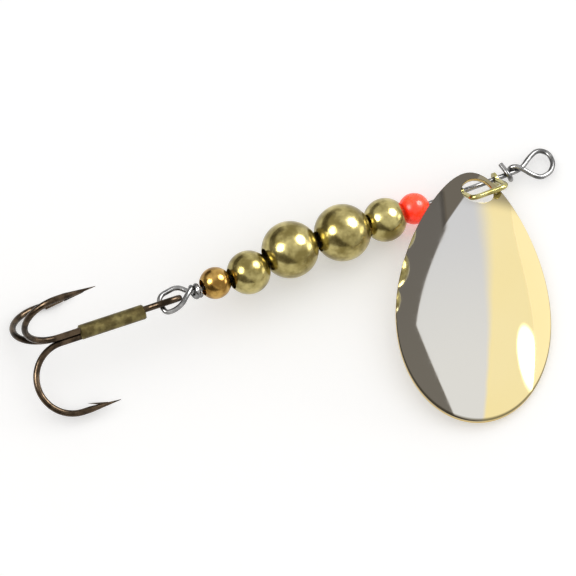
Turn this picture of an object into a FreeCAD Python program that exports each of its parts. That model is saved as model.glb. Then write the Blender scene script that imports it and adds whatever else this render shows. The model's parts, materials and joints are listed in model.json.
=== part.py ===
import FreeCAD, Part
import math
import os
import Sketcher

Vector = FreeCAD.Vector
Placement = FreeCAD.Placement
Rotation = FreeCAD.Rotation

# An inline spinner: a wire shaft with an eye at each end carries a clevis with a domed blade,
# six beads and a treble hook. It lies on a surface at z = 0, and +X points from the hook to
# the line eye. Lengths are in millimetres, angles in degrees.
#
# Three local frames are used:
#   shaft frame: x along the shaft towards the line eye, zero at the front large bead,
#   blade frame: x from the blade's narrow end to its wide end, z out of the convex face,
#   hook frame:  x along the shank towards the hook's eye, zero at the eye's outer end.

SIZES = [
    # how the shaft lies
    ("shaft_height", 4.15, "height of the shaft's line under the front large bead"),
    ("shaft_pitch", 5.0, "how far the shaft dips towards the line eye"),
    # shaft wire
    ("wire_radius", 0.45, "spring wire of the shaft"),
    ("wrap_radius", 0.96, "shaft line to the centre line of a wrapped turn"),
    ("front_wrap_start", 33.20, "first turn behind the line eye"),
    ("front_wrap_end", 31.90, "last turn behind the line eye"),
    ("rear_wrap_start", -29.55, "first turn in front of the rear eye"),
    ("rear_wrap_end", -28.10, "last turn in front of the rear eye"),
    # clevis
    ("clevis_rear_x", 22.98, "rear ear's middle"),
    ("clevis_front_x", 29.74, "front ear's middle"),
    ("clevis_depth", 5.70, "shaft line to the centre line of the stirrup's bar"),
    ("clevis_wire_radius", 0.475, "stirrup wire"),
    ("clevis_corner_radius", 1.30, "bend between leg and bar, on the centre line"),
    ("clevis_turn", 46.0, "the stirrup's lean to the blade's side"),
    ("ear_radius", 1.25, "flattened ear"),
    ("ear_thickness", 0.50, "flattened ear"),
    ("ear_hole_radius", 0.58, "hole that turns on the shaft"),
    # blade
    ("blade_length", 48.2, "narrow end to wide end"),
    ("blade_fill", 347.0, "outline's fullness at the narrow end, in mm2"),
    ("blade_swell", 887.0, "how the outline fills out towards the wide end, in mm2"),
    ("blade_curb", 265.0, "how the swelling eases off, in mm2"),
    ("blade_widest", 188.1, "square of the widest half width, in mm2"),
    ("blade_dome", 7.50, "height of the crown above the rim"),
    ("blade_sheet", 0.62, "sheet thickness at the crown"),
    ("blade_hole_radius", 2.90, "hole for the clevis"),
    ("blade_hole_x", 4.10, "narrow end to the hole's middle"),
    ("blade_hole_y", 0.90, "hole's middle, off the blade's long axis"),
    ("blade_x", 25.52, "narrow end's place, from the shaft frame's origin"),
    ("blade_y", 1.20, "narrow end's place, from the shaft frame's origin"),
    ("blade_z", 1.10, "narrow end's place, from the shaft frame's origin"),
    ("blade_yaw", -115.5, "direction of the blade's long axis"),
    ("blade_pitch", 4.57, "how far the wide end dips"),
    ("blade_roll", -8.0, "tilt about the long axis"),
    # beads
    ("large_radius", 5.05, "large brass bead"),
    ("medium_radius", 3.87, "medium brass bead"),
    ("small_radius", 2.835, "small brass bead"),
    ("red_radius", 2.765, "solid plastic bead"),
    ("bead_wall", 0.40, "wall of a hollow brass bead"),
    ("bead_hole", 1.85, "end holes of large and medium beads"),
    ("small_hole", 1.45, "end holes of the small bead"),
    ("red_bore", 0.75, "bore of the plastic bead"),
    # treble hook
    ("hook_wire_radius", 0.575, "hook wire"),
    ("shank_offset", 0.67, "treble's axis to each shank's centre line"),
    ("bend_x", -22.90, "centre of the round bends"),
    ("point_offset", 13.30, "treble's axis to each point"),
    ("point_length", 7.00, "bend to the tip of the point"),
    ("taper_length", 5.60, "ground taper of the point"),
    ("tip_radius", 0.05, "tip of the point"),
    ("barb_reach", 5.90, "tip to the barb's free end"),
    ("barb_rise", 0.62, "barb's free end above the wire"),
    ("barb_width", 0.50, "barb, across the wire"),
    ("single_shank_end", -7.10, "front end of the third hook's shank"),
    ("braze_start", -19.20, "rear end of the braze"),
    ("braze_end", -7.10, "front end of the braze"),
    ("braze_radius", 1.33, "braze round the three shanks"),
    ("hook_x", -31.57, "hook eye's outer end, from the shaft frame's origin"),
    ("hook_y", -0.50, "hook eye's outer end, from the shaft frame's origin"),
    ("hook_z", 2.78, "hook eye's outer end, from the shaft frame's origin"),
    ("hook_yaw", -5.2, "shank's direction"),
    ("hook_pitch", 0.0, "shank's dip towards its eye"),
    ("hook_roll", -2.5, "turn of the three arms about the shank"),
]

# corners of the two eyes in the shaft frame, in the order the wire runs from front to rear
LINE_EYE = [
    (33.93, 0.54, 0.98),
    (34.90, -0.62, 0.98),
    (36.00, -1.94, 0.45),
    (37.27, -2.91, 0.15),
    (39.35, -2.50, 0.0),
    (40.66, -1.05, 0.0),
    (40.87, 1.23, 0.0),
    (39.30, 2.60, 0.0),
    (37.37, 1.84, 0.0),
    (34.80, 0.10, 0.0),
]
REAR_EYE = [
    (-29.85, 0.10, 0.0),
    (-31.45, 2.22, 0.0),
    (-34.80, 1.70, 0.0),
    (-35.75, 0.70, 0.0),
    (-35.60, -2.00, 0.0),
    (-34.00, -2.10, 0.10),
    (-32.36, -1.70, 0.45),
    (-30.79, -0.48, 0.98),
]

# label, radius, hole, wall (None for a solid bead), then x, y, z of its centre in the shaft frame
BEADS = [
    ("red_bead", "red_radius", "red_bore", None, (13.84, 0.16, 0.15)),
    ("front_medium_bead", "medium_radius", "bead_hole", "bead_wall", (8.02, -0.06, 0.42)),
    ("front_large_bead", "large_radius", "bead_hole", "bead_wall", (-0.22, 0.23, 0.95)),
    ("rear_large_bead", "large_radius", "bead_hole", "bead_wall", (-10.17, 0.78, 0.80)),
    ("rear_medium_bead", "medium_radius", "bead_hole", "bead_wall", (-18.64, -0.14, 0.0)),
    ("small_tail_bead", "small_radius", "small_hole", "bead_wall", (-25.06, 0.10, 0.18)),
]

# direction of each hook arm about the shank, before the treble is rolled
UPPER_ARM = 90.0
FAR_ARM = -30.0
NEAR_ARM = 210.0

doc = FreeCAD.newDocument("inline_spinner")
sheet = doc.addObject("Spreadsheet::Sheet", "dims")


def fill_sheet():
    """Writes every driving dimension to the sheet, one named cell a row."""
    for row, (alias, value, note) in enumerate(SIZES, start=1):
        sheet.set("A%d" % row, note)
        sheet.set("B%d" % row, str(value))
        sheet.setAlias("B%d" % row, alias)
    doc.recompute()


def size(alias):
    """A driving dimension, read from the sheet."""
    return float(sheet.get(alias))


# ---------------------------------------------------------------- frames

def lure_origin():
    """The shaft frame's origin."""
    return Vector(0, 0, size("shaft_height"))


def shaft_placement(offset=(0.0, 0.0, 0.0), turn=0.0):
    """Place of a piece carried on the shaft, turned about the shaft."""
    dip = Placement(lure_origin(), Rotation(Vector(0, 1, 0), size("shaft_pitch")))
    local = Placement(Vector(*offset), Rotation(Vector(1, 0, 0), turn))
    return dip.multiply(local)


def free_placement(name):
    """Place of the blade or the hook, from its own six values."""
    base = lure_origin() + Vector(size(name + "_x"), size(name + "_y"), size(name + "_z"))
    turn = Rotation(size(name + "_yaw"), size(name + "_pitch"), size(name + "_roll"))
    return Placement(base, turn)


# ---------------------------------------------------------------- wire bending

def rounded_path(points):
    """Straight runs joined by tangent arcs, each arc as large as its two runs allow."""
    corners = [Vector(*point) for point in points]
    edges = []
    start = corners[0]
    for before, corner, after in zip(corners, corners[1:], corners[2:]):
        inward = (before - corner).normalize()
        outward = (after - corner).normalize()
        shorter = min((before - corner).Length, (after - corner).Length)
        reach = 0.45 * shorter
        first = corner + inward * reach
        last = corner + outward * reach
        half_turn = (math.pi - inward.getAngle(outward)) / 2
        radius = reach / math.tan(half_turn)
        sagitta = radius / math.cos(half_turn) - radius
        middle = corner + (inward + outward).normalize() * sagitta
        edges.append(Part.LineSegment(start, first).toShape())
        edges.append(Part.Arc(first, middle, last).toShape())
        start = last
    edges.append(Part.LineSegment(start, corners[-1]).toShape())
    return edges


def round_wire(edges, radius):
    """A solid round wire along the edges, cut square at both ends."""
    path = Part.Wire(edges)
    start = edges[0].valueAt(edges[0].FirstParameter)
    heading = edges[0].tangentAt(edges[0].FirstParameter)
    profile = Part.Wire(Part.Circle(start, heading, radius).toShape())
    solid = path.makePipeShell([profile], True, False)
    expected = math.pi * radius ** 2 * path.Length
    if abs(solid.Volume - expected) > 0.02 * expected:
        raise ValueError("wire has volume %.3f, not %.3f" % (solid.Volume, expected))
    return solid


def wrapped_turns(first_x, last_x, first_angle, last_angle):
    """Corners of a wire wrapped round the shaft, 45 degrees apart or less."""
    steps = max(2, int(math.ceil(abs(last_angle - first_angle) / 40.0)))
    # the rounded corners cut inside the polygon, so its corners stand a little further out
    reach = size("wrap_radius") / math.cos(math.radians(abs(last_angle - first_angle) / steps / 2))
    corners = []
    for step in range(steps + 1):
        share = step / steps
        angle = math.radians(first_angle + share * (last_angle - first_angle))
        x = first_x + share * (last_x - first_x)
        corners.append((x, reach * math.cos(angle), reach * math.sin(angle)))
    return corners


def make_wire_shaft():
    """One wire: cut end, front turn, line eye, straight shaft, rear eye, rear turns, cut end."""
    front_end = size("front_wrap_end")
    reach = size("wrap_radius")
    points = [(front_end - 0.25, 1.95, reach)]
    points += wrapped_turns(front_end, size("front_wrap_start"), -270.0, 35.0)
    points += LINE_EYE
    points += REAR_EYE
    points += wrapped_turns(size("rear_wrap_start"), size("rear_wrap_end"), 60.0, -500.0)
    piece = doc.addObject("Part::Feature", "wire_shaft")
    piece.Shape = round_wire(rounded_path(points), size("wire_radius"))
    piece.Placement = shaft_placement()
    return piece


# ---------------------------------------------------------------- sketches

def new_body(label):
    """A PartDesign body whose origin planes are ready to hold sketches."""
    body = doc.addObject("PartDesign::Body", label)
    body.Label = label
    doc.recompute()
    return body


def origin_feature(body, role):
    """One of the body's own origin planes or axes."""
    for feature in body.Origin.OriginFeatures:
        if feature.Role == role:
            return feature
    raise ValueError("no origin feature " + role)


def new_sketch(body, name, role):
    """A sketch on one of the body's origin planes."""
    sketch = body.newObject("Sketcher::SketchObject", name)
    sketch.AttachmentSupport = [(origin_feature(body, role), "")]
    sketch.MapMode = "FlatFace"
    return sketch


def bind(sketch, constraint, formula):
    """Adds a dimension to the sketch and ties it to the sheet."""
    index = sketch.addConstraint(constraint)
    sketch.setExpression("Constraints[%d]" % index, formula)


def sketch_arc(sketch, radius, hole):
    """The upper part of a circle about the origin, cut off at the hole's height."""
    start = math.asin(hole / radius)
    circle = Part.Circle(Vector(0, 0, 0), Vector(0, 0, 1), radius)
    index = sketch.addGeometry(Part.ArcOfCircle(circle, start, math.pi - start), False)
    sketch.addConstraint(Sketcher.Constraint("Coincident", index, 3, -1, 1))
    return index


def sketch_line(sketch, arc_a, end_a, arc_b, end_b):
    """A straight edge from the end of one arc to the end of another."""
    start = sketch.getPoint(arc_a, end_a)
    stop = sketch.getPoint(arc_b, end_b)
    index = sketch.addGeometry(Part.LineSegment(start, stop), False)
    sketch.addConstraint(Sketcher.Constraint("Coincident", index, 1, arc_a, end_a))
    sketch.addConstraint(Sketcher.Constraint("Coincident", index, 2, arc_b, end_b))
    sketch.addConstraint(Sketcher.Constraint("Horizontal", index))
    return index


def make_bead(label, radius_name, hole_name, wall_name, centre):
    """A bead turned about x: a hollow shell with two end holes, or a solid ball with a bore."""
    radius = size(radius_name)
    hole = size(hole_name)
    body = new_body(label)
    sketch = new_sketch(body, label + "_profile", "XZ_Plane")
    outer = sketch_arc(sketch, radius, hole)
    bind(sketch, Sketcher.Constraint("Radius", outer, radius), "dims." + radius_name)
    if wall_name is None:
        edge = sketch_line(sketch, outer, 2, outer, 1)
    else:
        inner = sketch_arc(sketch, radius - size(wall_name), hole)
        thinner = "dims.%s - dims.%s" % (radius_name, wall_name)
        bind(sketch, Sketcher.Constraint("Radius", inner, radius - size(wall_name)), thinner)
        edge = sketch_line(sketch, outer, 1, inner, 1)
        left_edge = sketch_line(sketch, inner, 2, outer, 2)
        level = Sketcher.Constraint("DistanceY", -1, 1, left_edge, 1, hole)
        bind(sketch, level, "dims." + hole_name)
    bind(sketch, Sketcher.Constraint("DistanceY", -1, 1, edge, 1, hole), "dims." + hole_name)
    turned = body.newObject("PartDesign::Revolution", label + "_turned")
    turned.Profile = sketch
    turned.ReferenceAxis = (sketch, ["H_Axis"])
    turned.Angle = 360.0
    doc.recompute()
    body.Placement = shaft_placement(centre)
    return body


def make_clevis():
    """A stirrup bent from round wire, each end flattened to an ear with a hole."""
    rear_x = size("clevis_rear_x")
    front_x = size("clevis_front_x")
    depth = size("clevis_depth")
    corner = size("clevis_corner_radius")
    wire = size("clevis_wire_radius")
    leg_start = size("ear_hole_radius") + 0.25
    body = new_body("clevis")

    path = new_sketch(body, "clevis_path", "XZ_Plane")
    lines = [
        ((rear_x, leg_start), (rear_x, depth - corner)),
        ((rear_x + corner, depth), (front_x - corner, depth)),
        ((front_x, depth - corner), (front_x, leg_start)),
    ]
    for start, stop in lines:
        path.addGeometry(Part.LineSegment(Vector(*start, 0), Vector(*stop, 0)), False)
    rear_bend = Part.Circle(Vector(rear_x + corner, depth - corner, 0), Vector(0, 0, 1), corner)
    front_bend = Part.Circle(Vector(front_x - corner, depth - corner, 0), Vector(0, 0, 1), corner)
    path.addGeometry(Part.ArcOfCircle(rear_bend, math.pi / 2, math.pi), False)
    path.addGeometry(Part.ArcOfCircle(front_bend, 0, math.pi / 2), False)
    for line, line_end, arc, arc_end in ((0, 2, 3, 2), (1, 1, 3, 1), (1, 2, 4, 2), (2, 1, 4, 1)):
        path.addConstraint(Sketcher.Constraint("Tangent", line, line_end, arc, arc_end))
    path.addConstraint(Sketcher.Constraint("Vertical", 0))
    path.addConstraint(Sketcher.Constraint("Vertical", 2))
    bind(path, Sketcher.Constraint("DistanceX", -1, 1, 0, 1, rear_x), "dims.clevis_rear_x")
    bind(path, Sketcher.Constraint("DistanceX", -1, 1, 2, 2, front_x), "dims.clevis_front_x")
    bind(path, Sketcher.Constraint("DistanceY", -1, 1, 1, 1, depth), "dims.clevis_depth")
    bind(path, Sketcher.Constraint("Radius", 3, corner), "dims.clevis_corner_radius")
    bind(path, Sketcher.Constraint("Radius", 4, corner), "dims.clevis_corner_radius")
    for line, line_end in ((0, 1), (2, 2)):
        level = Sketcher.Constraint("DistanceY", -1, 1, line, line_end, leg_start)
        bind(path, level, "dims.ear_hole_radius + 0.25 mm / 1 mm")

    section = new_sketch(body, "clevis_section", "XY_Plane")
    section.AttachmentOffset = Placement(Vector(0, 0, leg_start), Rotation())
    circle = Part.Circle(Vector(rear_x, 0, 0), Vector(0, 0, 1), wire)
    ring = section.addGeometry(circle, False)
    section.addConstraint(Sketcher.Constraint("PointOnObject", ring, 3, -1))
    bind(section, Sketcher.Constraint("DistanceX", -1, 1, ring, 3, rear_x), "dims.clevis_rear_x")
    bind(section, Sketcher.Constraint("Radius", ring, wire), "dims.clevis_wire_radius")
    doc.recompute()
    stirrup = body.newObject("PartDesign::AdditivePipe", "clevis_stirrup")
    stirrup.Profile = section
    stirrup.Spine = (path, ["Edge%d" % number for number in range(1, 6)])
    doc.recompute()

    for end, ear_x in (("rear", rear_x), ("front", front_x)):
        outline = new_sketch(body, end + "_ear_outline", "YZ_Plane")
        outline.AttachmentOffset = Placement(Vector(0, 0, ear_x), Rotation())
        outline.setExpression("AttachmentOffset.Base.z", "dims.clevis_%s_x" % end)
        disc = outline.addGeometry(Part.Circle(Vector(0, 0, 0), Vector(0, 0, 1), 1.0), False)
        outline.addConstraint(Sketcher.Constraint("Coincident", disc, 3, -1, 1))
        bind(outline, Sketcher.Constraint("Radius", disc, 1.25), "dims.ear_radius")
        ear = body.newObject("PartDesign::Pad", end + "_ear")
        ear.Profile = outline
        ear.Midplane = True
        ear.setExpression("Length", "dims.ear_thickness")
        doc.recompute()
    bore = new_sketch(body, "ear_bore", "YZ_Plane")
    disc = bore.addGeometry(Part.Circle(Vector(0, 0, 0), Vector(0, 0, 1), 0.5), False)
    bore.addConstraint(Sketcher.Constraint("Coincident", disc, 3, -1, 1))
    bind(bore, Sketcher.Constraint("Radius", disc, 0.5), "dims.ear_hole_radius")
    holes = body.newObject("PartDesign::Pocket", "ear_holes")
    holes.Profile = bore
    holes.Midplane = True
    holes.setExpression("Length", "4 * dims.clevis_front_x")
    doc.recompute()
    body.Placement = shaft_placement(turn=size("clevis_turn"))
    return body


# ---------------------------------------------------------------- blade

def half_width_squared(share):
    """Square of the outline's half width, at a share of the blade's length."""
    fullness = size("blade_fill") + size("blade_swell") * share - size("blade_curb") * share ** 2
    return share * (1 - share) * fullness


def dome_height(along, across):
    """Height of the convex face above the rim: a parabola across the blade, zero on its outline."""
    rise = size("blade_dome") / size("blade_widest")
    return rise * (half_width_squared(along / size("blade_length")) - across ** 2)


def dome_face():
    """The convex face as one smooth surface, carried a little past the outline."""
    length = size("blade_length")
    rows = []
    for step in range(-1, 26):
        along = length * step / 24.0
        rows.append([Vector(along, 1.5 * side, dome_height(along, 1.5 * side)) for side in range(-10, 11)])
    surface = Part.BSplineSurface()
    surface.interpolate(rows)
    return surface.toShape()


def outline_face(height):
    """The egg-shaped outline as a flat face at a height."""
    length = size("blade_length")
    points = []
    for step in range(64):
        turn = 2 * math.pi * step / 64
        share = (1 - math.cos(turn)) / 2
        side = math.copysign(math.sqrt(max(0.0, half_width_squared(share))), math.sin(turn))
        points.append(Vector(length * share, side, height))
    curve = Part.BSplineCurve()
    curve.interpolate(Points=points, PeriodicFlag=True)
    return Part.Face(Part.Wire(curve.toShape()))


def make_blade():
    """The domed sheet cut to its outline, with the clevis hole near its narrow end."""
    sheet_t = size("blade_sheet")
    hole_x = size("blade_hole_x")
    hole_y = size("blade_hole_y")
    slab = dome_face().extrude(Vector(0, 0, -sheet_t))
    prism = outline_face(-3.0).extrude(Vector(0, 0, 6.0 + size("blade_dome")))
    step = 0.01
    middle = Vector(hole_x, hole_y, dome_height(hole_x, hole_y))
    slope_x = (dome_height(hole_x + step, hole_y) - middle.z) / step
    slope_y = (dome_height(hole_x, hole_y + step) - middle.z) / step
    axis = Vector(-slope_x, -slope_y, 1).normalize()
    drill = Part.makeCylinder(size("blade_hole_radius"), 6.0, middle - axis * 3.0, axis)
    piece = doc.addObject("Part::Feature", "spinner_blade")
    piece.Shape = slab.common(prism).cut(drill)
    piece.Placement = free_placement("blade")
    return piece


# ---------------------------------------------------------------- treble hook

def around(x, reach, angle):
    """A point beside the shank: x along it, reach out from its axis, at an angle about it."""
    turn = math.radians(angle)
    return Vector(x, reach * math.cos(turn), reach * math.sin(turn))


def arm_edges(angle):
    """Shank end, round bend and the full-thickness start of the point, as edges."""
    shank = size("shank_offset")
    point = size("point_offset")
    bend = size("bend_x")
    radius = (point - shank) / 2
    taper_start = bend + size("point_length") - size("taper_length")
    bottom = around(bend - radius, (shank + point) / 2, angle)
    arc = Part.Arc(around(bend, shank, angle), bottom, around(bend, point, angle))
    straight = Part.LineSegment(around(bend, point, angle), around(taper_start, point, angle))
    return [arc.toShape(), straight.toShape()]


def arm_point(angle):
    """The ground taper of a point and its barb."""
    wire = size("hook_wire_radius")
    point = size("point_offset")
    tip_x = size("bend_x") + size("point_length")
    taper = size("taper_length")
    cone = Part.makeCone(wire, size("tip_radius"), taper,
                         around(tip_x - taper, point, angle), Vector(1, 0, 0))
    surface = point - wire
    free_end = around(tip_x - size("barb_reach"), surface - size("barb_rise"), angle)
    root = around(tip_x - size("barb_reach") + 1.6, surface + 0.1, angle)
    keel = around(tip_x - 2.2, point - 0.05, angle)
    back = around(tip_x - 2.4, point - 0.32, angle)
    across = around(0, 1, angle + 90).normalize() * size("barb_width")
    outline = Part.makePolygon([free_end, root, keel, back, free_end])
    outline.translate(across * -0.5)
    barb = Part.Face(outline).extrude(across)
    return cone.fuse(barb)


def make_double_hook():
    """One wire: point, bend, shank, the hook's eye, shank, bend, point."""
    wire = size("hook_wire_radius")
    shank = size("shank_offset")
    middle_angle = (UPPER_ARM + FAR_ARM) / 2
    lift = shank * math.cos(math.radians(60))
    spread = shank * math.sin(math.radians(60))
    centre = around(0, lift, middle_angle)
    sideways = around(0, 1, middle_angle + 90)
    half_eye = [(-6.20, spread), (-4.60, 1.65), (-1.90, 1.65), (-wire, 0.80)]
    eye = half_eye + [(x, -side) for x, side in reversed(half_eye)]
    bend = size("bend_x")
    outline = [(bend, spread)] + eye + [(bend, -spread)]
    corners = [tuple(centre + sideways * side + Vector(x, 0, 0)) for x, side in outline]
    upper = arm_edges(UPPER_ARM)
    far = arm_edges(FAR_ARM)
    edges = Part.__sortEdges__(upper + rounded_path(corners) + far)
    body = round_wire(edges, wire)
    body = body.fuse([arm_point(UPPER_ARM), arm_point(FAR_ARM)]).removeSplitter()
    piece = doc.addObject("Part::Feature", "treble_double_hook")
    piece.Shape = body
    piece.Placement = free_placement("hook")
    return piece


def make_single_hook():
    """The third arm: a straight shank that stops short of the eye, bend and point."""
    shank = size("shank_offset")
    start = around(size("single_shank_end"), shank, NEAR_ARM)
    stop = around(size("bend_x"), shank, NEAR_ARM)
    edges = [Part.LineSegment(start, stop).toShape()] + arm_edges(NEAR_ARM)
    body = round_wire(edges, size("hook_wire_radius"))
    piece = doc.addObject("Part::Feature", "treble_single_hook")
    piece.Shape = body.fuse(arm_point(NEAR_ARM)).removeSplitter()
    piece.Placement = free_placement("hook")
    return piece


def make_braze():
    """Braze round the three shanks: a round bar with a hole for each of them."""
    length = size("braze_end") - size("braze_start")
    start = Vector(size("braze_start"), 0, 0)
    along = Vector(1, 0, 0)
    bar = Part.makeCylinder(size("braze_radius"), length, start, along)
    bar = bar.makeChamfer(0.25, [edge for edge in bar.Edges if edge.Closed and edge.Length > 8])
    for angle in (UPPER_ARM, FAR_ARM, NEAR_ARM):
        seat = around(size("braze_start") - 1, size("shank_offset"), angle)
        bar = bar.cut(Part.makeCylinder(size("hook_wire_radius"), length + 2, seat, along))
    piece = doc.addObject("Part::Feature", "treble_braze")
    piece.Shape = bar
    piece.Placement = free_placement("hook")
    return piece


# ---------------------------------------------------------------- build and export

def check_document(pieces):
    """Stops if any object failed or any piece is not one valid closed shape."""
    for item in doc.Objects:
        if "Invalid" in item.State or "Error" in item.State:
            raise ValueError("%s failed: %s" % (item.Name, item.State))
    for piece in pieces:
        if piece.Shape.isNull() or not piece.Shape.isValid():
            raise ValueError("%s has no valid shape" % piece.Label)


def stand_on_floor(pieces):
    """Moves every piece so that the lure is centred over the origin with its lowest point at z = 0."""
    whole = FreeCAD.BoundBox()
    for piece in pieces:
        whole.add(piece.Shape.optimalBoundingBox(False, False))
    shift = Vector(-whole.Center.x, -whole.Center.y, -whole.ZMin)
    for piece in pieces:
        piece.Placement = Placement(shift, Rotation()).multiply(piece.Placement)
    doc.recompute()


def main():
    fill_sheet()
    pieces = [make_wire_shaft(), make_clevis(), make_blade()]
    for bead in BEADS:
        pieces.append(make_bead(*bead))
    pieces += [make_double_hook(), make_single_hook(), make_braze()]
    doc.recompute()
    stand_on_floor(pieces)
    check_document(pieces)
    os.makedirs("parts", exist_ok=True)
    for piece in pieces:
        piece.Shape.exportStep("parts/%s.step" % piece.Label)
    return pieces


main()
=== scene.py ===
import json
import math
import bmesh
import bpy
from mathutils import Matrix, Vector


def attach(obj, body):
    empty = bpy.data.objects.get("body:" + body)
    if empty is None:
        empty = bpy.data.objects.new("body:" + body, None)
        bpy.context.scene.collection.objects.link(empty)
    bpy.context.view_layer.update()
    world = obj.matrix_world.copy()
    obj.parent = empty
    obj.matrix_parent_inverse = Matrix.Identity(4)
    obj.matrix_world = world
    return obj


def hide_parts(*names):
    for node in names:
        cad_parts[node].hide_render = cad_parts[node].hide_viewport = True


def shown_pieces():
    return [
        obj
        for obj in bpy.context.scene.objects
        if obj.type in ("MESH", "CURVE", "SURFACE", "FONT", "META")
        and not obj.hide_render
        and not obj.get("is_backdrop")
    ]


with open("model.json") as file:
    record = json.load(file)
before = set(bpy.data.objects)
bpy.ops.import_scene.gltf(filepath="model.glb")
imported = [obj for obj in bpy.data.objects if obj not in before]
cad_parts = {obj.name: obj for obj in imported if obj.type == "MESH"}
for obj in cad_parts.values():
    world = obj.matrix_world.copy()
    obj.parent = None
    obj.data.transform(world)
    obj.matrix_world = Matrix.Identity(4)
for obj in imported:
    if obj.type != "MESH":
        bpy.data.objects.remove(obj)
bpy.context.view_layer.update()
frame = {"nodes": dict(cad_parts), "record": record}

MM = 0.001
NODES = frame["nodes"]
JOINTS = {joint["name"]: joint for joint in frame["record"]["behaviour"]["joints"]}

# The lure lies on a pale table: line eye to the right, blade folded forward, treble to the left.
# The wire, clevis, hooks and braze show their CAD surface with a material each. The beads and the
# blade are made again as finer meshes on the same measures, so that reflections run smoothly.

# ------------------------------------------------------------------ the shaft's own frame

ALONG = Vector(JOINTS["clevis_spin"]["axis"]).normalized()
SIDE = Vector((0.0, 1.0, 0.0))
ABOVE = ALONG.cross(SIDE).normalized()
CLEVIS_MIDDLE = 26.36 * MM
ORIGIN = Vector(JOINTS["clevis_spin"]["pos_m"]) - ALONG * CLEVIS_MIDDLE

# ------------------------------------------------------------------ measures, in millimetres

# blade: outline, dome, sheet and hole; the fill and the widest are squares of the half width
BLADE_LENGTH = 48.2
BLADE_FILL = (347.0, 887.0, -265.0)
BLADE_WIDEST = 188.1
BLADE_DOME = 7.5
BLADE_SHEET = 0.62
BLADE_BEVEL = 0.08
HOLE_RADIUS = 2.9
HOLE_X = 4.1
HOLE_Y = 0.9
# the narrow end's place from the origin, and the blade's yaw, pitch and roll in degrees
BLADE_APEX = Vector((25.52, 1.20, 1.10)) * MM
BLADE_TURN = (-115.5, 4.57, -8.0)
# points round the blade, and rings from the hole to the outline
BLADE_AROUND = 720
BLADE_RINGS = 150

# blade's tones and painted dark reflections: along it from the narrow end, and across it from its
# middle line
TONE_LINE = 1.6
TONE_WANDER = 1.2
BLEND_REACH = (4.0, 44.0)
BLEND_HALF_WIDTHS = (2.2, 0.45)
# where the painted dark reflections lie: round the hole (neck) and on the shoulder
NECK_END = (4.5, 8.5)
NECK_SIDE = (-3.0, 2.0)
SHOULDER_SLANT = 0.59
SHOULDER_EDGE = (1.55, 1.95)
SHOULDER_SIDE = (-6.1, -4.9)

# beads: name, radius, end hole and wall (None for a solid one)
BEADS = [
    ("front_medium_bead", 3.87, 1.85, 0.40),
    ("front_large_bead", 5.05, 1.85, 0.40),
    ("rear_large_bead", 5.05, 1.85, 0.40),
    ("rear_medium_bead", 3.87, 1.85, 0.40),
    ("small_tail_bead", 2.835, 1.45, 0.40),
    ("red_bead", 2.765, 0.75, None),
]
BEAD_AROUND = 128
BEAD_OUTER_STEPS = 72
BEAD_INNER_STEPS = 40
BORE_STEPS = 12
OUTER_LIP = 0.06
INNER_LIP = 0.02


# ------------------------------------------------------------------ node helpers

class Nodes:
    """A small hand for building one node tree."""

    def __init__(self, tree):
        self.tree = tree
        tree.nodes.clear()

    def add(self, kind, **values):
        node = self.tree.nodes.new(kind)
        for name, value in values.items():
            setattr(node, name, value)
        return node

    def link(self, source, target):
        self.tree.links.new(source, target)

    def feed(self, socket, value):
        """Links another socket, or sets a constant."""
        if isinstance(value, bpy.types.NodeSocket):
            self.link(value, socket)
        else:
            socket.default_value = value

    def attribute(self, name):
        return self.add("ShaderNodeAttribute", attribute_name=name).outputs["Fac"]

    def math(self, operation, first, second):
        node = self.add("ShaderNodeMath", operation=operation)
        self.feed(node.inputs[0], first)
        self.feed(node.inputs[1], second)
        return node.outputs[0]

    def dot(self, vector, constant):
        node = self.add("ShaderNodeVectorMath", operation="DOT_PRODUCT")
        self.link(vector, node.inputs[0])
        node.inputs[1].default_value = constant
        return node.outputs["Value"]

    def ramp(self, value, low, high, out_low=0.0, out_high=1.0):
        """A smooth step from out_low to out_high as the value goes from low to high."""
        node = self.add("ShaderNodeMapRange", interpolation_type="SMOOTHSTEP")
        self.link(value, node.inputs["Value"])
        ends = {"From Min": low, "From Max": high, "To Min": out_low, "To Max": out_high}
        for name, number in ends.items():
            node.inputs[name].default_value = number
        return node.outputs["Result"]

    def noise(self, vector, scale, detail=3.0, roughness=0.55):
        node = self.add("ShaderNodeTexNoise")
        self.link(vector, node.inputs["Vector"])
        node.inputs["Scale"].default_value = scale
        node.inputs["Detail"].default_value = detail
        node.inputs["Roughness"].default_value = roughness
        return node.outputs["Fac"]

    def stretched(self, vector, scale):
        node = self.add("ShaderNodeMapping")
        self.link(vector, node.inputs["Vector"])
        node.inputs["Scale"].default_value = scale
        return node.outputs["Vector"]

    def mix(self, share, first, second):
        node = self.add("ShaderNodeMix", data_type="RGBA")
        self.feed(node.inputs[0], share)
        self.feed(node.inputs[6], first)
        self.feed(node.inputs[7], second)
        return node.outputs[2]

    def bump(self, height, strength, distance):
        node = self.add("ShaderNodeBump")
        node.inputs["Strength"].default_value = strength
        node.inputs["Distance"].default_value = distance
        self.link(height, node.inputs["Height"])
        return node.outputs["Normal"]


def rgb(red, green, blue):
    return (red, green, blue, 1.0)


def new_material(name):
    """A material with one principled shader, and the object's own coordinates to place marks by."""
    material = bpy.data.materials.new(name)
    material.use_nodes = True
    nodes = Nodes(material.node_tree)
    output = nodes.add("ShaderNodeOutputMaterial")
    shader = nodes.add("ShaderNodeBsdfPrincipled")
    nodes.link(shader.outputs[0], output.inputs["Surface"])
    coords = nodes.add("ShaderNodeTexCoord")
    return material, nodes, shader, coords.outputs["Object"]


# ------------------------------------------------------------------ materials

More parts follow.
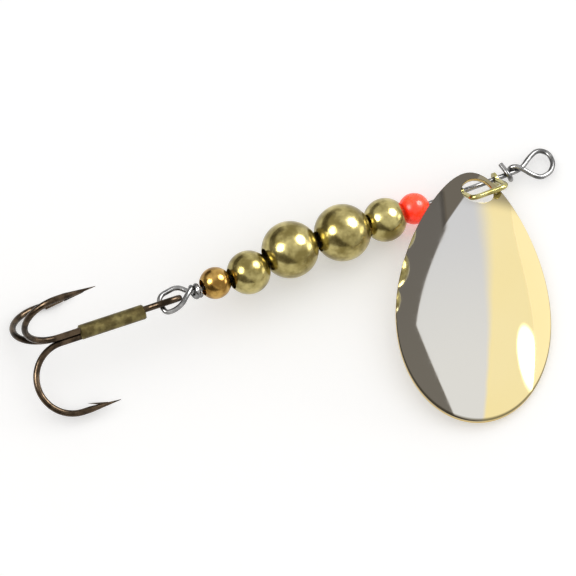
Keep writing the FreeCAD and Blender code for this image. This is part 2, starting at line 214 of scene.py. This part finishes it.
def metal(name, light, dark, roughness, grain=900.0, patches=160.0, bump=0.04):
    """A worked metal: tone patches, uneven polish and fine hairline marks."""
    material, nodes, shader, place = new_material(name)
    tone = nodes.ramp(nodes.noise(place, patches, 4.0), 0.35, 0.68)
    nodes.link(nodes.mix(tone, rgb(*dark), rgb(*light)), shader.inputs["Base Color"])
    shader.inputs["Metallic"].default_value = 1.0
    polish = nodes.noise(place, grain, 4.0, 0.65)
    nodes.link(nodes.ramp(polish, 0.3, 0.75, *roughness), shader.inputs["Roughness"])
    hairs = nodes.noise(nodes.stretched(place, (0.35, 5.0, 2.0)), grain * 1.6, 2.0)
    pits = nodes.noise(place, grain * 2.2, 3.0)
    height = nodes.math("ADD", nodes.math("MULTIPLY", hairs, 0.5), pits)
    nodes.link(nodes.bump(height, bump, 0.00002), shader.inputs["Normal"])
    return material


def plating(nodes, place, along, across):
    """Nickel on one side and gold on the other; the blend narrows towards the wide end, and the nickel
    is painted lighter and warmer towards it as a painted reflection.
    """
    drift = nodes.math("SUBTRACT", nodes.noise(place, 90.0), 0.5)
    wander = nodes.math("MULTIPLY", drift, TONE_WANDER)
    from_line = nodes.math("ADD", nodes.math("SUBTRACT", across, TONE_LINE), wander)
    half_width = nodes.ramp(along, *BLEND_REACH, *BLEND_HALF_WIDTHS)
    share = nodes.ramp(nodes.math("DIVIDE", from_line, half_width), -1.0, 1.0)
    painted_reflection_gradient = nodes.ramp(along, *BLEND_REACH)
    # painted reflection: the nickel is lighter and warmer towards the wide end
    nickel = nodes.mix(painted_reflection_gradient, rgb(0.66, 0.66, 0.67), rgb(0.78, 0.765, 0.72))
    tint = nodes.noise(place, 55.0, 2.0)
    gold = nodes.mix(tint, rgb(0.98, 0.80, 0.36), rgb(1.0, 0.86, 0.48))
    return nodes.mix(share, nickel, gold)


def painted_reflections_and_rim(nodes, colour, along, across):
    """Painted dark reflections round the hole and on the shoulder, a painted dark reflection line at
    the edge, and a gilt rim.
    """
    near_hole = nodes.ramp(along, *NECK_END, 1.0, 0.0)
    neck_painted_reflection = nodes.math("MULTIPLY", near_hole, nodes.ramp(across, *NECK_SIDE, 0.1, 0.8))
    # painted dark reflection round the hole, laid into the plate colour as a darker tone
    colour = nodes.mix(neck_painted_reflection, colour, rgb(0.20, 0.175, 0.12))
    slant = nodes.math("ADD", across, nodes.math("MULTIPLY", along, SHOULDER_SLANT))
    above_slant = nodes.ramp(slant, *SHOULDER_EDGE, 1.0, 0.0)
    shoulder_painted_reflection = nodes.math("MULTIPLY", above_slant, nodes.ramp(across, *SHOULDER_SIDE))
    # painted dark reflection on the shoulder, laid into the plate colour
    colour = nodes.mix(shoulder_painted_reflection, colour, rgb(0.157, 0.138, 0.11))
    # painted dark reflection: a dark line along the outer edge of both faces
    edge = nodes.math("MULTIPLY", nodes.attribute("edge"), 0.85)
    colour = nodes.mix(edge, colour, rgb(0.13, 0.105, 0.05))
    return nodes.mix(nodes.attribute("rim"), colour, rgb(0.66, 0.50, 0.22))


def blade_metal():
    """Polished two-tone plate with painted dark reflections, faint waves and hairlines."""
    material, nodes, shader, place = new_material("blade_polished_plate")
    along = nodes.attribute("along")
    across = nodes.attribute("across")
    colour = painted_reflections_and_rim(nodes, plating(nodes, place, along, across), along, across)
    nodes.link(colour, shader.inputs["Base Color"])
    shader.inputs["Metallic"].default_value = 1.0
    polish = nodes.noise(place, 500.0, 4.0, 0.6)
    nodes.link(nodes.ramp(polish, 0.3, 0.8, 0.035, 0.085), shader.inputs["Roughness"])
    hairs = nodes.noise(nodes.stretched(place, (0.3, 4.0, 1.0)), 1500.0, 2.0)
    waves = nodes.noise(place, 130.0, 2.0)
    height = nodes.math("ADD", nodes.math("MULTIPLY", hairs, 0.15), waves)
    nodes.link(nodes.bump(height, 0.03, 0.0001), shader.inputs["Normal"])
    return material


def red_plastic():
    """Gloss fluorescent plastic with a painted glow from a little emission, and tiny surface marks."""
    material, nodes, shader, place = new_material("red_fluorescent_plastic")
    tone = nodes.ramp(nodes.noise(place, 260.0, 3.0), 0.3, 0.7)
    colour = nodes.mix(tone, rgb(0.92, 0.022, 0.006), rgb(1.0, 0.050, 0.016))
    nodes.link(colour, shader.inputs["Base Color"])
    # painted glow: the colour is also given out as light, so the bead shines without any lamp
    nodes.link(colour, shader.inputs["Emission Color"])
    shader.inputs["Emission Strength"].default_value = 0.22
    shader.inputs["Subsurface Weight"].default_value = 0.35
    shader.inputs["Subsurface Radius"].default_value = (0.002, 0.0006, 0.0003)
    shader.inputs["Subsurface Scale"].default_value = 1.0
    polish = nodes.ramp(nodes.noise(place, 700.0), 0.3, 0.8, 0.22, 0.38)
    nodes.link(polish, shader.inputs["Roughness"])
    marks = nodes.noise(place, 1300.0, 3.0)
    nodes.link(nodes.bump(marks, 0.08, 0.00003), shader.inputs["Normal"])
    return material


# ------------------------------------------------------------------ mesh helpers

def ring_faces(rows, around):
    """Quads from each row of points to the next, closed both along the rows and across them."""
    faces = []
    for row in range(rows):
        below = (row + 1) % rows
        for step in range(around):
            beside = (step + 1) % around
            faces.append((row * around + step, row * around + beside,
                          below * around + beside, below * around + step))
    return faces


def finish_mesh(name, verts, faces, material, body, replaced, sharp=35.0):
    """Makes the piece, smooth but for sharp edges, hides the node it replaces and parents the piece to
    its body.
    """
    mesh = bpy.data.meshes.new(name)
    mesh.from_pydata([tuple(vert) for vert in verts], [], faces)
    mesh.validate()
    work = bmesh.new()
    work.from_mesh(mesh)
    bmesh.ops.recalc_face_normals(work, faces=work.faces)
    work.to_mesh(mesh)
    work.free()
    mesh.shade_smooth()
    mesh.set_sharp_from_angle(angle=math.radians(sharp))
    mesh.materials.append(material)
    piece = bpy.data.objects.new(name, mesh)
    bpy.context.scene.collection.objects.link(piece)
    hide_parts(replaced)
    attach(piece, body)
    return piece


# ------------------------------------------------------------------ beads

def bead_profile(radius, hole, wall):
    """Half section as (x, r) points: the outside from end to end, then the inside back again."""
    start = math.asin((hole + OUTER_LIP) / radius)
    points = []
    for step in range(BEAD_OUTER_STEPS + 1):
        angle = start + (math.pi - 2 * start) * step / BEAD_OUTER_STEPS
        points.append((-radius * math.cos(angle), radius * math.sin(angle)))
    end_x = points[-1][0]
    if wall is None:
        reach = end_x - OUTER_LIP
        bore = [(reach * (1 - 2 * step / BORE_STEPS), hole) for step in range(BORE_STEPS + 1)]
        return points + bore
    points.append((end_x - INNER_LIP, hole))
    inner = radius - wall
    inner_start = math.asin((hole + 0.001) / inner)
    for step in range(BEAD_INNER_STEPS + 1):
        angle = math.pi - inner_start - (math.pi - 2 * inner_start) * step / BEAD_INNER_STEPS
        points.append((-inner * math.cos(angle), inner * math.sin(angle)))
    points.append((points[0][0] + INNER_LIP, hole))
    return points


def make_bead(name, radius, hole, wall, material):
    """A turned bead about its own joint's axis."""
    centre = Vector(JOINTS[name + "_spin"]["pos_m"])
    profile = bead_profile(radius, hole, wall)
    verts = []
    for x, r in profile:
        for step in range(BEAD_AROUND):
            angle = 2 * math.pi * step / BEAD_AROUND
            offset = ALONG * x + (SIDE * math.cos(angle) + ABOVE * math.sin(angle)) * r
            verts.append(centre + offset * MM)
    faces = ring_faces(len(profile), BEAD_AROUND)
    return finish_mesh(name + "_turned", verts, faces, material, name, name)


# ------------------------------------------------------------------ blade

def half_width_squared(share):
    """Square of the outline's half width, at a share of the length from the narrow end."""
    base, swell, curb = BLADE_FILL
    return share * (1 - share) * (base + swell * share + curb * share ** 2)


def dome_height(along, across):
    """Height of the convex face above the plane of the rim."""
    return BLADE_DOME / BLADE_WIDEST * (half_width_squared(along / BLADE_LENGTH) - across ** 2)


def outline_reach(x, y, direction_x, direction_y):
    """Distance from a point inside the outline to the outline, in one direction."""
    low = 0.0
    high = 60.0
    for _ in range(48):
        middle = (low + high) / 2
        along = x + direction_x * middle
        across = y + direction_y * middle
        in_length = 0 < along < BLADE_LENGTH
        if in_length and half_width_squared(along / BLADE_LENGTH) > across ** 2:
            low = middle
        else:
            high = middle
    return low


def drill_frame():
    """The hole's centre on the convex face, the drill's two level directions and its axis."""
    slope_step = 0.01
    middle_z = dome_height(HOLE_X, HOLE_Y)
    slope_x = (dome_height(HOLE_X + slope_step, HOLE_Y) - middle_z) / slope_step
    slope_y = (dome_height(HOLE_X, HOLE_Y + slope_step) - middle_z) / slope_step
    axis = Vector((-slope_x, -slope_y, 1.0)).normalized()
    level_x = Vector((1.0, 0.0, slope_x)).normalized()
    level_y = axis.cross(level_x).normalized()
    return Vector((HOLE_X, HOLE_Y, middle_z)), level_x, level_y, axis


def hole_edge(drill, angle, drop):
    """Where the drilled wall meets the face that lies drop below the convex one."""
    centre, level_x, level_y, axis = drill
    start = centre + (level_x * math.cos(angle) + level_y * math.sin(angle)) * HOLE_RADIUS
    low = -4.0
    high = 4.0
    for _ in range(40):
        middle = (low + high) / 2
        point = start + axis * middle
        if point.z > dome_height(point.x, point.y) - drop:
            high = middle
        else:
            low = middle
    return start + axis * low


def blade_face(drop):
    """Rows of points on the face that lies drop below the convex one, from hole to outline."""
    drill = drill_frame()
    angles = [2 * math.pi * step / BLADE_AROUND for step in range(BLADE_AROUND)]
    rows = [[hole_edge(drill, angle, drop) for angle in angles]]
    rays = []
    for edge in rows[0]:
        direction = Vector((edge.x - HOLE_X, edge.y - HOLE_Y)).normalized()
        reach = outline_reach(edge.x, edge.y, direction.x, direction.y)
        rays.append((edge, direction * reach))
    for ring in range(1, BLADE_RINGS + 1):
        row = []
        for edge, ray in rays:
            x = edge.x + ray.x * ring / BLADE_RINGS
            y = edge.y + ray.y * ring / BLADE_RINGS
            row.append(Vector((x, y, dome_height(x, y) - drop)))
        rows.append(row)
    return rows


def bevelled(row, towards):
    """A row of points, each moved a bevel's width towards its partner in another row."""
    return [point + (other - point).normalized() * BLADE_BEVEL for point, other in zip(row, towards)]


def blade_rows():
    """Rows right round the sheet: convex face, rim, hollow face and hole wall, edges broken."""
    top = blade_face(0.0)
    bottom = blade_face(BLADE_SHEET)
    rows = [bevelled(top[0], bottom[0])]
    rows += [bevelled(top[0], top[1])] + top[1:-1] + [bevelled(top[-1], top[-2])]
    rows += [bevelled(top[-1], bottom[-1]), bevelled(bottom[-1], top[-1])]
    rows += [bevelled(bottom[-1], bottom[-2])] + bottom[-2:0:-1] + [bevelled(bottom[0], bottom[1])]
    rows += [bevelled(bottom[0], top[0])]
    return rows


def blade_matrix():
    yaw, pitch, roll = (math.radians(angle) for angle in BLADE_TURN)
    turn = Matrix.Rotation(yaw, 4, "Z") @ Matrix.Rotation(pitch, 4, "Y") @ Matrix.Rotation(roll, 4, "X")
    return Matrix.Translation(ORIGIN + BLADE_APEX) @ turn


def make_blade(material):
    """The domed sheet as one closed skin, with its own measures as attributes for the material."""
    rows = blade_rows()
    last_convex = BLADE_RINGS + 1
    cut_rows = {0, last_convex + 1, last_convex + 2, len(rows) - 1}
    # rows that carry the painted dark reflection line along the outer edge
    painted_reflection_edge_rows = {last_convex - 1, last_convex, last_convex + 3, last_convex + 4}
    place = blade_matrix()
    verts = []
    marks = {"along": [], "across": [], "rim": [], "edge": []}
    for number, row in enumerate(rows):
        for point in row:
            verts.append(place @ (point * MM))
            marks["along"].append(point.x)
            marks["across"].append(point.y)
            marks["rim"].append(float(number in cut_rows))
            marks["edge"].append(float(number in painted_reflection_edge_rows))
    faces = ring_faces(len(rows), BLADE_AROUND)
    piece = finish_mesh("spinner_blade_plate", verts, faces, material, "blade",
                        "spinner_blade", sharp=50.0)
    for name, values in marks.items():
        layer = piece.data.attributes.new(name, "FLOAT", "POINT")
        layer.data.foreach_set("value", values)
    return piece


# ------------------------------------------------------------------ the lure

brass = metal("bead_brass", (0.56, 0.48, 0.20), (0.22, 0.175, 0.055), (0.17, 0.27),
              patches=330.0, bump=0.02)
copper = metal("bead_copper", (0.58, 0.36, 0.10), (0.24, 0.13, 0.03), (0.15, 0.25),
               patches=480.0, bump=0.02)
bead_finish = {"small_tail_bead": copper, "red_bead": red_plastic()}
for bead, bead_radius, bead_hole, bead_wall in BEADS:
    make_bead(bead, bead_radius, bead_hole, bead_wall, bead_finish.get(bead, brass))
blade = make_blade(blade_metal())

hook_bronze = metal("hook_bronze", (0.115, 0.08, 0.05), (0.025, 0.018, 0.012), (0.14, 0.34),
                    patches=420.0, bump=0.10)
node_finish = {
    "wire_shaft": metal("spring_wire", (0.34, 0.335, 0.33), (0.12, 0.12, 0.12), (0.16, 0.34),
                        patches=500.0),
    "clevis": metal("clevis_plate", (0.58, 0.53, 0.24), (0.30, 0.26, 0.08), (0.12, 0.24),
                    patches=300.0, bump=0.008),
    "treble_double_hook": hook_bronze,
    "treble_single_hook": hook_bronze,
    "treble_braze": metal("braze", (0.20, 0.165, 0.065), (0.085, 0.065, 0.025), (0.28, 0.5),
                          grain=1100.0, patches=620.0, bump=0.35),
}
for node, finish in node_finish.items():
    for material_slot in NODES[node].material_slots:
        material_slot.material = finish

# ------------------------------------------------------------------ camera

VIEW_AZIMUTH = math.radians(-26.0)
VIEW_ELEVATION = math.radians(60.0)
RIGHT = Vector((math.cos(VIEW_AZIMUTH), math.sin(VIEW_AZIMUTH), 0.0))
BACK = Vector((-math.sin(VIEW_AZIMUTH), math.cos(VIEW_AZIMUTH), 0.0))
TOWARDS = Vector((0, 0, 1)) * math.sin(VIEW_ELEVATION) - BACK * math.cos(VIEW_ELEVATION)
UP = Vector((0, 0, 1)) * math.cos(VIEW_ELEVATION) + BACK * math.sin(VIEW_ELEVATION)
LENS = 1200.0
SENSOR = 36.0
VIEW_WIDTH = 100.8 * MM
DISTANCE = VIEW_WIDTH * LENS / SENSOR
AIM_LEFT = 9.75 * MM
AIM_DOWN = 9.08 * MM
AIM = ORIGIN - RIGHT * AIM_LEFT - UP * AIM_DOWN


def make_camera():
    """A very long lens, so that the view has almost no perspective."""
    data = bpy.data.cameras.new("camera")
    data.lens = LENS
    data.sensor_width = SENSOR
    data.clip_end = 50.0
    camera = bpy.data.objects.new("camera", data)
    bpy.context.scene.collection.objects.link(camera)
    axes = Matrix((RIGHT, UP, TOWARDS)).transposed().to_4x4()
    camera.matrix_world = Matrix.Translation(AIM + TOWARDS * DISTANCE) @ axes
    bpy.context.scene.camera = camera


make_camera()

# ------------------------------------------------------------------ floor and light

# in metres
FLOOR_HALF = 4.0
SOFTBOX_DISTANCE = 0.6
# how bright the studio and its dim walls are
STUDIO_LEVEL = 0.92
WALL_LEVEL = 0.20


def make_floor():
    """A plain pale table that glows a little, so that it stays near white."""
    mesh = bpy.data.meshes.new("floor")
    corners = [(-FLOOR_HALF, -FLOOR_HALF, 0.0), (FLOOR_HALF, -FLOOR_HALF, 0.0),
               (FLOOR_HALF, FLOOR_HALF, 0.0), (-FLOOR_HALF, FLOOR_HALF, 0.0)]
    mesh.from_pydata(corners, [], [(0, 1, 2, 3)])
    floor = bpy.data.objects.new("floor", mesh)
    bpy.context.scene.collection.objects.link(floor)
    floor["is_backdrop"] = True
    material, _, shader, _ = new_material("pale_floor")
    shader.inputs["Base Color"].default_value = rgb(0.85, 0.85, 0.85)
    shader.inputs["Roughness"].default_value = 1.0
    shader.inputs["Specular IOR Level"].default_value = 0.0
    shader.inputs["Emission Color"].default_value = rgb(1.0, 1.0, 1.0)
    shader.inputs["Emission Strength"].default_value = 0.32
    mesh.materials.append(material)


def make_world():
    """White studio with dim walls low behind, left and in front, and a lamp low on the right."""
    world = bpy.data.worlds.new("studio")
    bpy.context.scene.world = world
    world.use_nodes = True
    sky = Nodes(world.node_tree)
    output = sky.add("ShaderNodeOutputWorld")
    background = sky.add("ShaderNodeBackground")
    sky.link(background.outputs[0], output.inputs["Surface"])
    heading = sky.add("ShaderNodeTexCoord").outputs["Generated"]

    # each wall is the part of the sky where a few directions' shares pass their bounds
    low_back = sky.ramp(sky.dot(heading, (-0.058, 0.1445, 1.0)), 0.585, 0.61, 1.0, 0.0)
    not_right = sky.ramp(sky.dot(heading, (1.0, -0.6035, 0.0)), -0.512, -0.398, 1.0, 0.0)
    low_back = sky.math("MULTIPLY", low_back, not_right)
    low_left = sky.ramp(sky.dot(heading, (1.178, 0.214, 1.0)), -0.175, -0.145, 1.0, 0.0)
    low_front = sky.ramp(sky.dot(heading, (0.0, 0.0, 1.0)), 0.30, 0.46, 1.0, 0.0)
    in_front = sky.ramp(sky.dot(heading, tuple(-BACK)), 0.40, 0.65)
    low_front = sky.math("MULTIPLY", low_front, in_front)
    not_far_right = sky.ramp(sky.dot(heading, tuple(RIGHT)), 0.05, 0.45, 1.0, 0.0)
    low_front = sky.math("MULTIPLY", low_front, not_far_right)
    wall = sky.math("MAXIMUM", sky.math("MAXIMUM", low_back, low_left), low_front)

    level = sky.ramp(wall, 0.0, 1.0, STUDIO_LEVEL, WALL_LEVEL)
    lamp = sky.ramp(sky.dot(heading, (0.927, -0.354, 0.114)), 0.965, 0.99, 0.0, 4.0)
    sky.link(sky.math("ADD", level, lamp), background.inputs["Strength"])
    tint = sky.mix(wall, rgb(1.0, 0.995, 0.985), rgb(1.0, 0.91, 0.78))
    sky.link(tint, background.inputs["Color"])


def add_softbox(name, direction, width, power, receivers):
    """A round soft lamp that faces the lure and lights only the receivers."""
    data = bpy.data.lights.new(name, "AREA")
    data.shape = "DISK"
    data.size = width
    data.energy = power
    light = bpy.data.objects.new(name, data)
    bpy.context.scene.collection.objects.link(light)
    place = ORIGIN + direction.normalized() * SOFTBOX_DISTANCE
    light.location = place
    light.rotation_euler = (place - ORIGIN).to_track_quat("Z", "Y").to_euler()
    group = bpy.data.collections.new(name + "_receivers")
    for item in receivers:
        group.objects.link(item)
    light.light_linking.receiver_collection = group


make_floor()
make_world()
# the blade mirrors the studio's walls only, so the softboxes leave it out
lit = [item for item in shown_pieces() if item != blade]
add_softbox("key", RIGHT * 0.608 + UP * 0.608 + TOWARDS * 0.510, 0.36, 4.6, lit)
add_softbox("side", -RIGHT * 0.653 + UP * 0.149 + TOWARDS * 0.741, 0.32, 3.6, lit)
bpy.context.scene.view_settings.view_transform = "Standard"
